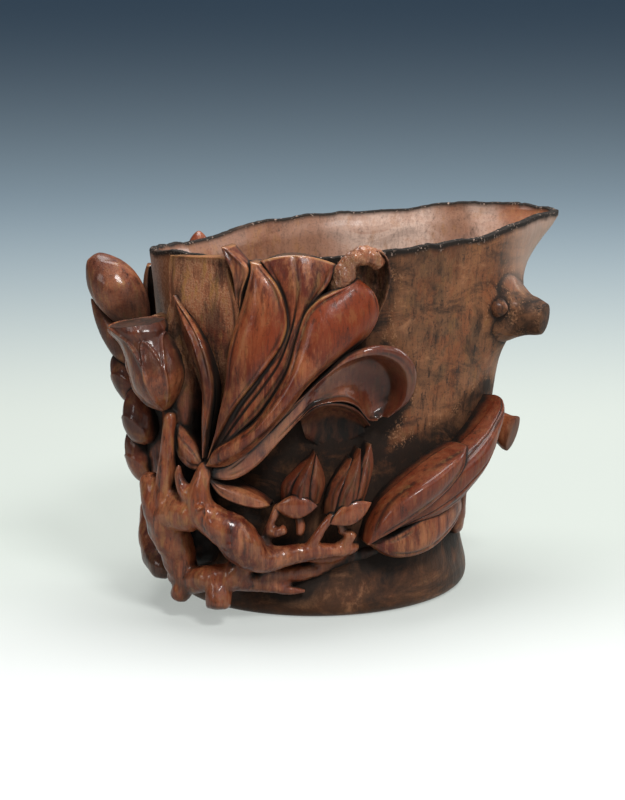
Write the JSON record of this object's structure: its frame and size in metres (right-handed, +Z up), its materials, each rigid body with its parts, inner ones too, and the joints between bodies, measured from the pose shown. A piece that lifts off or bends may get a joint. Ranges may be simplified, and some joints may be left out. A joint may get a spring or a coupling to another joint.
{
  "type": "carved bamboo cup",
  "caption": "Carved bamboo libation cup in tree-trunk form, with a poured lip, a hollow inside and a magnolia spray in high relief round the wall.",
  "frame": {"origin": "centre of the flat foot face", "axes": "+Z up, +X towards the spout, +Y to the far side"},
  "size_m": [0.1342, 0.0898, 0.0995],
  "materials": {
    "bamboo_wall": "polished with a dark patina",
    "bamboo_carving": "high polish on the raised parts, near black in the recesses"
  },
  "bodies": {
    "root": {"branch_back": "bamboo_carving", "branch_cross": "bamboo_carving", "branch_main": "bamboo_carving", "bud_fifth": "bamboo_carving", "bud_fourth": "bamboo_carving", "bud_middle": "bamboo_carving", "bud_rim_back": "bamboo_carving", "bud_third": "bamboo_carving", "bud_upper": "bamboo_carving", "bud_upper_bract": "bamboo_carving", "cup_body": "bamboo_wall", "flower_back_petal_left": "bamboo_carving", "flower_back_petal_right": "bamboo_carving", "knot_upper_right": "bamboo_carving", "large_bud_sheath": "bamboo_carving", "large_bud_tip": "bamboo_carving", "leaf_back": "bamboo_carving", "leaf_lower_right": "bamboo_carving", "petal_back_centre": "bamboo_carving", "petal_back_left": "bamboo_carving", "petal_centre_left": "bamboo_carving", "petal_curled_right": "bamboo_carving", "petal_front_large": "bamboo_carving", "petal_rim_back": "bamboo_carving", "petal_side_sliver": "bamboo_carving", "petal_tip_fold": "bamboo_carving", "petal_top_right": "bamboo_carving", "petal_under_curl": "bamboo_carving", "root_front": "bamboo_carving", "root_nub_front": "bamboo_carving", "root_nub_side": "bamboo_carving", "sepal_below": "bamboo_carving", "sepal_left": "bamboo_carving", "small_pod_left": "bamboo_carving", "small_pod_right": "bamboo_carving", "stem_left": "bamboo_carving", "stem_lower_right": "bamboo_carving", "stem_of_buds": "bamboo_carving", "stub_lower_right": "bamboo_carving", "stub_upper_right": "bamboo_carving", "thorn_upper": "bamboo_carving", "trunk_back_left": "bamboo_carving", "trunk_left": "bamboo_carving", "twig_back": "bamboo_carving", "twig_centre": "bamboo_carving", "twig_left": "bamboo_carving", "twig_right": "bamboo_carving"}
  },
  "joints": []
}
